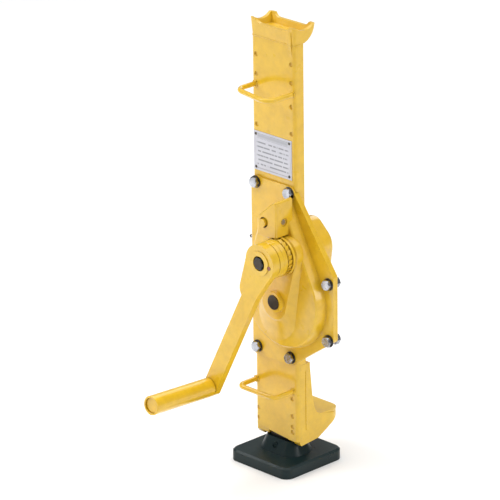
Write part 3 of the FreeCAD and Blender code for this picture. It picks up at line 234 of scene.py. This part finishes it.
def printed_plate():
    """A matt silver plate with plain grey bars where a real one has its printed table."""
    low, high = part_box("nameplate")
    paint = Paint("plate_silver")
    axes = paint.add("ShaderNodeSeparateXYZ")
    paint.join(paint.place, axes.inputs["Vector"])
    across = paint.spread(axes.outputs["X"], low[0], high[0])
    up = paint.spread(axes.outputs["Z"], low[2], high[2])
    rows = paint.math("FRACT", paint.scaled(up, PLATE_ROWS), 0.0)
    bars = paint.math("MULTIPLY", paint.step(rows, 0.32), paint.step(paint.minus(1.0, rows), 0.34))
    words = paint.noise(1.0, 2, 0.5, paint.row_place(across, up))
    ink = paint.math("MULTIPLY", bars, paint.spread(words, 0.40, 0.43))
    inside = paint.math("MULTIPLY", paint.window(across, *TABLE_ACROSS), paint.window(up, *TABLE_UP))
    ink = paint.math("MULTIPLY", ink, inside)
    band = paint.math("MULTIPLY", paint.window(across, *BAND_ACROSS), paint.window(up, *BAND_UP))
    ink = paint.math("MAXIMUM", ink, paint.math("MULTIPLY", band, 0.55))
    silver = paint.mix(paint.spread(paint.noise(22, 3), 0.35, 0.7), PLATE_SILVER, PLATE_DULL)
    tone = paint.mix(paint.math("MULTIPLY", ink, 0.75), silver, PLATE_INK)
    # painted shade: the occlusion mask darkens the plate's corners and the ground round its rivets
    tone = paint.mix(paint.math("MULTIPLY", paint.crevice_shade(4 * MM), 0.7), tone, PLATE_SHADE)
    paint.feed("Base Color", tone)
    paint.feed("Roughness", paint.spread(paint.noise(240, 3), 0.3, 0.7, 0.34, 0.48))
    paint.set(Metallic=0.1, Coat_Weight=0.4, Coat_Roughness=0.2)
    paint.bumps((paint.noise(600, 2), 0.08, 0.2 * MM))
    return paint.material


# ---------------------------------------------------------------- the jack's finishes
YELLOW = enamel("yellow_enamel", colour=(0.79, 0.475, 0.012), deep=(0.40, 0.20, 0.008),
                faded=(0.83, 0.53, 0.024), scuff=(0.24, 0.14, 0.06))
FOOT = enamel("foot_enamel", colour=(0.006, 0.017, 0.018), deep=(0.003, 0.007, 0.008),
              faded=(0.010, 0.024, 0.026), scuff=(0.07, 0.07, 0.06), coat=0.0)
STEEL = steel("machined_steel", colour=(0.42, 0.42, 0.43), dark=(0.16, 0.15, 0.14), roughness=0.34)
ZINC = steel("zinc_plate", colour=(0.48, 0.49, 0.53), dark=(0.07, 0.068, 0.066), roughness=0.20)
BLACK = steel("black_oxide", colour=(0.075, 0.085, 0.10), dark=(0.02, 0.022, 0.026), roughness=0.30,
              edge=(0.35, 0.38, 0.42))
DARK_STEEL = steel("dark_steel", colour=(0.10, 0.09, 0.075), dark=(0.03, 0.025, 0.02), roughness=0.42)
SHAFT = steel("oiled_shaft", colour=(0.075, 0.065, 0.055), dark=(0.02, 0.016, 0.012), roughness=0.40,
              edge=(0.3, 0.28, 0.25))
BRONZE = steel("bearing_bronze", colour=(0.55, 0.33, 0.12), dark=(0.22, 0.13, 0.06), roughness=0.35)
RED = enamel("red_lacquer", colour=(0.22, 0.03, 0.012), deep=(0.06, 0.012, 0.008),
             faded=(0.26, 0.05, 0.02), scuff=(0.3, 0.2, 0.15))
LINING = enamel("friction_lining", colour=(0.10, 0.065, 0.04), deep=(0.04, 0.025, 0.015),
                faded=(0.14, 0.10, 0.07), scuff=(0.2, 0.15, 0.1))
PLATE = printed_plate()

FINISH = {"yellow_paint": YELLOW, "foot_paint": FOOT, "machined_steel": STEEL, "zinc_plate": ZINC,
          "black_oxide": BLACK, "lock_screw_red": RED, "bronze": BRONZE, "friction_lining": LINING,
          "plate_silver": PLATE, "rivet_steel": DARK_STEEL}

# nodes whose visible side is finished otherwise than the rest of their slot
SPECIAL = {"rack_pinion_shaft": SHAFT, "crank_shaft": SHAFT, "pawl": SHAFT, "rack": SHAFT,
           "rack_stop_plate": SHAFT, "cover_washers": DARK_STEEL}

# how far each node's sharp edges are rounded, in millimetres
EDGE_WIDTHS = {
    "front_channel": 0.4, "rack_channel": 0.6, "toe_claw": 2.2, "lift_head": 1.6, "front_gear_cover": 0.8,
    "rear_gear_cover": 1.0, "base_plate": 1.8, "crank_arm": 1.8, "hub_drum": 0.7, "pressure_drum": 0.7,
    "brake_flange": 0.6, "ratchet_wheel": 0.4, "handle_grip": 0.7, "pawl_housing": 1.2, "cover_bolts": 0.3,
    "cover_washers": 0.25, "cover_nuts": 0.3, "nameplate": 0.2, "nameplate_rivets": 0.2, "pawl_pin": 0.7,
    "grip_axle": 0.8, "crank_nut": 0.3, "hub_lock_screw": 0.4, "case_spacer": 0.3,
    "rack_pinion_shaft": 0.5, "foot_pin": 0.5, "grease_nipple": 0.2,
}
EDGE_SEGMENTS = 2
SHARP_ANGLE = math.radians(32)
WELD_DISTANCE = 0.01 * MM
FACE_WEIGHT = 80


def dress(obj, material):
    obj.data.materials.clear()
    obj.data.materials.append(material)


def dress_nodes():
    """Gives every CAD node the finish of its slot, or its own."""
    slot_of = {part["node"]: part["material_slot"] for part in frame["record"]["subparts"]}
    for node, obj in NODES.items():
        dress(obj, SPECIAL.get(node) or FINISH[slot_of[node]])


def soften(obj, width):
    """Joins a CAD node's faces at their borders and rounds its sharp edges a little."""
    weld = obj.modifiers.new("weld", "WELD")
    weld.merge_threshold = WELD_DISTANCE
    bevel = obj.modifiers.new("soft_edges", "BEVEL")
    bevel.width = width * MM
    bevel.segments = EDGE_SEGMENTS
    bevel.limit_method = "ANGLE"
    bevel.angle_limit = SHARP_ANGLE
    bevel.use_clamp_overlap = True
    even = obj.modifiers.new("even_normals", "WEIGHTED_NORMAL")
    even.keep_sharp = False
    even.weight = FACE_WEIGHT


# ---------------------------------------------------------------- weld beads
BEAD_SIDES = 10
BEAD_STEP = 0.8 * MM        # distance between a bead's rings
RIPPLE = 3.2 * MM           # length of one ripple of the weld
BAIL_ROD = 4 * MM           # radius of the bails' rod
BAIL_BEAD, SIDE_BEAD, FRONT_BEAD, TOE_BEAD = 1.5 * MM, 1.2 * MM, 1.1 * MM, 1.3 * MM
CORNER_INSET = 3 * MM       # the head's beads start behind the column's rounded corners
TOE_INSET = 12 * MM


def corners(node):
    low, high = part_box(node)
    return Vector(low), Vector(high)


def walk(points, lengths, travel):
    """The spot at a distance along a path, and the path's direction there."""
    leg = 0
    while leg < len(lengths) - 2 and lengths[leg + 1] < travel:
        leg += 1
    along = (points[leg + 1] - points[leg]).normalized()
    return points[leg] + along * (travel - lengths[leg]), along


def bead_ring(build, spot, along, size):
    side = along.orthogonal().normalized()
    up = along.cross(side)
    ring = []
    for turn in range(BEAD_SIDES):
        angle = 2 * math.pi * turn / BEAD_SIDES
        ring.append(build.verts.new(spot + (side * math.cos(angle) + up * math.sin(angle)) * size))
    return ring


def bead_skin(build, rings, closed):
    """Faces from ring to ring, and an end cap at each end of an open bead."""
    pairs = list(zip(rings, rings[1:]))
    if closed:
        pairs.append((rings[-1], rings[0]))
    for first, second in pairs:
        for turn in range(BEAD_SIDES):
            after = (turn + 1) % BEAD_SIDES
            build.faces.new((first[turn], first[after], second[after], second[turn]))
    if not closed:
        build.faces.new(list(reversed(rings[0])))
        build.faces.new(rings[-1])
    bmesh.ops.recalc_face_normals(build, faces=build.faces)
    for face in build.faces:
        face.smooth = True


def bead(name, path, radius, closed=False):
    """A weld bead along a path: a tube whose size swells with every ripple of the weld."""
    points = [Vector(point) for point in path]
    if closed:
        points.append(points[0])
    lengths = [0.0]
    for start, end in zip(points, points[1:]):
        lengths.append(lengths[-1] + (end - start).length)
    steps = max(12, round(lengths[-1] / BEAD_STEP))
    count = steps if closed else steps + 1
    build = bmesh.new()
    rings = []
    for step in range(count):
        travel = lengths[-1] * step / steps
        spot, along = walk(points, lengths, travel)
        phase = travel / RIPPLE
        size = radius * (1 + 0.16 * math.sin(2 * math.pi * phase) + 0.10 * math.sin(3.7 * phase + 1))
        if not closed:
            size *= min(1.0, 0.45 + 0.3 * min(step, count - 1 - step))
        rings.append(bead_ring(build, spot, along, size))
    bead_skin(build, rings, closed)
    mesh = bpy.data.meshes.new(name)
    build.to_mesh(mesh)
    build.free()
    obj = bpy.data.objects.new(name, mesh)
    bpy.context.scene.collection.objects.link(obj)
    dress(obj, YELLOW)
    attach(obj, "housing")


def ring_path(x, y, z, radius, count=24):
    """A circle round a rod that stands out of the column's front face."""
    path = []
    for step in range(count):
        angle = 2 * math.pi * step / count
        path.append((x + radius * math.cos(angle), y, z + radius * math.sin(angle)))
    return path


def make_weld_beads():
    """Beads round the bails' roots, under the head and where the column meets the toe."""
    sheet_low, sheet_high = corners("front_channel")
    front, rear, seam = sheet_low.y, sheet_high.y, sheet_high.z
    for label in ("upper_bail", "lower_bail"):
        low, high = corners(label)
        middle = (low.z + high.z) / 2
        for side, x in (("left", low.x + BAIL_ROD), ("right", high.x - BAIL_ROD)):
            circle = ring_path(x, front - 0.2 * MM, middle, BAIL_ROD + 0.6 * MM)
            bead("%s_weld_%s" % (label, side), circle, BAIL_BEAD, closed=True)
    sides = (("left", sheet_low.x), ("right", sheet_high.x))
    for side, x in sides:
        bead("head_%s_weld" % side, [(x, front + CORNER_INSET, seam), (x, rear, seam)], SIDE_BEAD)
    bead("head_front_weld", [(sheet_low.x + CORNER_INSET, front, seam),
                             (sheet_high.x - CORNER_INSET, front, seam)], FRONT_BEAD)
    toe_low, toe_high = corners("toe_claw")
    for side, x in sides:
        bead("toe_%s_weld" % side, [(x, rear, toe_low.z + 2 * TOE_INSET),
                                    (x, rear, toe_high.z - TOE_INSET)], TOE_BEAD)


# ---------------------------------------------------------------- floor, light and camera
FLOOR_HALF = 6.0
FLOOR_LIGHT, FLOOR_PALE = (0.93, 0.93, 0.93), (0.96, 0.96, 0.96)
SKY_STRENGTH = 0.30

# square lamps: name, place, aim, side in metres, watts
LAMPS = (
    ("overhead", (-0.2, 0.3, 4.5), (-0.2, 0.3, 0), 8.0, 300),
    ("key", (2.9, 0.3, 1.0), (0, 0, 0.35), 1.2, 20),
    ("floor_pool", (-0.9, -0.9, 1.3), (-0.9, -0.9, 0), 0.8, 14),
    ("front_fill", (-1.2, -3.0, 1.2), (0, 0, 0.35), 1.6, 4),
    ("rim", (-1.2, 2.6, 1.8), (0, 0, 0.4), 1.5, 12),
)

# the camera looks at a point off the foot's centre: so far to its right, and so high, in metres
AZIMUTH, ELEVATION, ROLL = math.radians(45.67), math.radians(20.70), math.radians(-0.75)
DISTANCE, AIM_RIGHT, AIM_HEIGHT = 6.625, -0.0538, 0.3545
SENSOR, LENS, FAR_CLIP = 36, 305.7, 100


def make_stage():
    mesh = bpy.data.meshes.new("floor")
    build = bmesh.new()
    bmesh.ops.create_grid(build, x_segments=2, y_segments=2, size=FLOOR_HALF)
    build.to_mesh(mesh)
    build.free()
    floor = bpy.data.objects.new("floor", mesh)
    bpy.context.scene.collection.objects.link(floor)
    paint = Paint("floor_paint")
    paint.feed("Base Color", paint.mix(paint.noise(2.5), FLOOR_LIGHT, FLOOR_PALE))
    paint.set(Roughness=0.7)
    dress(floor, paint.material)


def make_lamp(name, place, aim, side, power):
    data = bpy.data.lights.new(name, "AREA")
    data.shape = "RECTANGLE"
    data.size = side
    data.size_y = side
    data.energy = power
    lamp = bpy.data.objects.new(name, data)
    lamp.location = place
    lamp.rotation_mode = "QUATERNION"
    lamp.rotation_quaternion = (Vector(aim) - Vector(place)).to_track_quat("-Z", "Y")
    lamp.visible_camera = False
    bpy.context.scene.collection.objects.link(lamp)


def make_world():
    world = bpy.data.worlds.new("studio")
    world.use_nodes = True
    sky = world.node_tree.nodes["Background"]
    sky.inputs["Color"].default_value = (1, 1, 1, 1)
    sky.inputs["Strength"].default_value = SKY_STRENGTH
    bpy.context.scene.world = world
    bpy.context.scene.view_settings.view_transform = "Standard"


def make_camera():
    data = bpy.data.cameras.new("camera")
    data.sensor_width = SENSOR
    data.lens = LENS
    data.clip_end = FAR_CLIP
    camera = bpy.data.objects.new("camera", data)
    level = math.cos(ELEVATION)
    back = Vector((math.sin(AZIMUTH) * level, -math.cos(AZIMUTH) * level, math.sin(ELEVATION)))
    right = Vector((math.cos(AZIMUTH), math.sin(AZIMUTH), 0))
    aim = right * AIM_RIGHT + Vector((0, 0, AIM_HEIGHT))
    camera.location = aim + back * DISTANCE
    camera.rotation_mode = "QUATERNION"
    turn = (-back).to_track_quat("-Z", "Y")
    camera.rotation_quaternion = turn @ Matrix.Rotation(ROLL, 4, "Z").to_quaternion()
    bpy.context.scene.collection.objects.link(camera)
    bpy.context.scene.camera = camera


# ---------------------------------------------------------------- the scene
dress_nodes()
for node, width in EDGE_WIDTHS.items():
    soften(NODES[node], width)
make_weld_beads()
make_stage()
for lamp in LAMPS:
    make_lamp(*lamp)
make_world()
make_camera()
